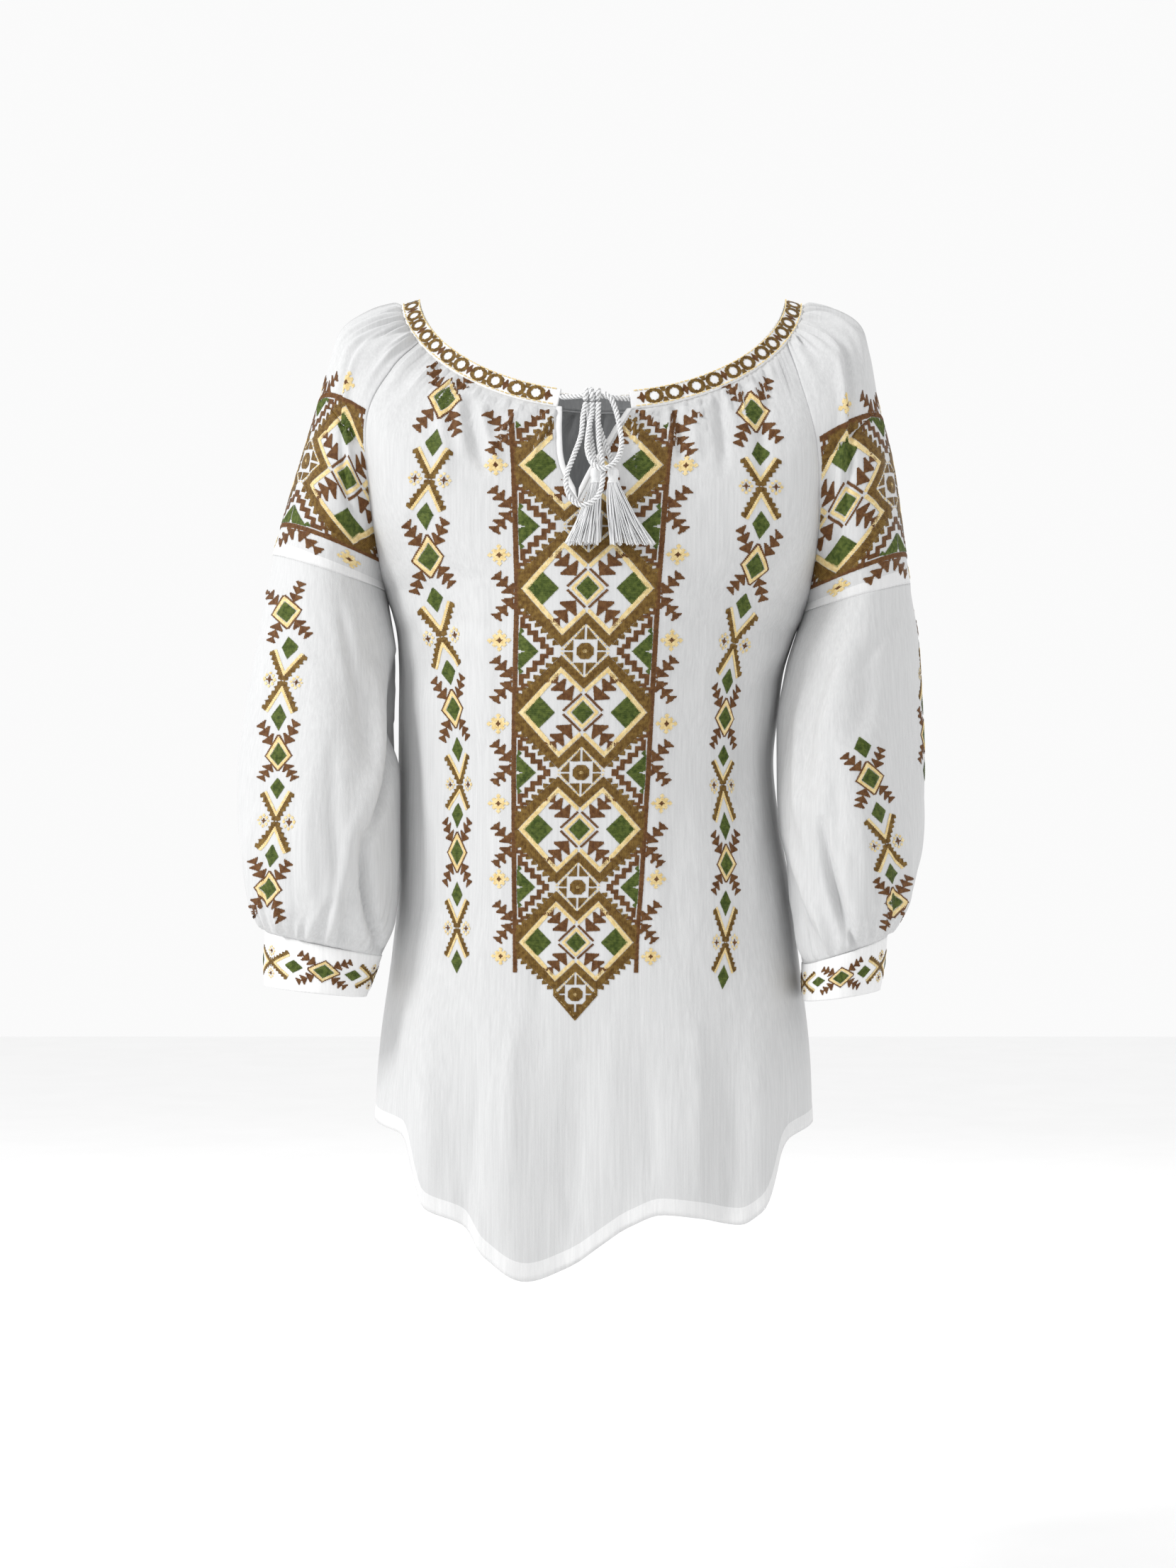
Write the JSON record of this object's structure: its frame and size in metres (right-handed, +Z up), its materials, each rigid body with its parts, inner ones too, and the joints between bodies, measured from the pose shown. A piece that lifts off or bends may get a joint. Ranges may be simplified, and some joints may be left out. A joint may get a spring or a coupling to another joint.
{
  "type": "folk blouse",
  "caption": "Long-sleeved peasant blouse of white gauze, gathered into an embroidered neckband with a tied front slit, raglan sleeves, cuffs and a pointed hem.",
  "frame": {"origin": "midway between the two shoulder peaks of the neckband, where a wearer's shoulders hold the blouse", "axes": "+Z up, +X to the viewer's right, the front with the slit and the bow towards -Y"},
  "size_m": [0.5388, 0.2662, 0.7699],
  "materials": {
    "gauze": "crinkled white cotton gauze",
    "band": "closely embroidered cotton",
    "cuff": "embroidered cotton",
    "binding": "plain white cotton strip",
    "cord": "twisted white cotton cord",
    "tassel": "white cotton threads"
  },
  "bodies": {
    "root": {"front_panel": "gauze", "back_panel": "gauze", "neckband": "band", "slit_binding": "binding", "sleeve_upper_left": "gauze", "sleeve_lower_left": "gauze", "cuff_left": "cuff", "sleeve_upper_right": "gauze", "sleeve_lower_right": "gauze", "cuff_right": "cuff", "drawstring_knot": "cord", "bow_loop_left": "cord", "bow_loop_right": "cord", "tail_left": "cord", "tail_right": "cord", "tassel_left": "tassel", "tassel_right": "tassel"}
  },
  "joints": []
}
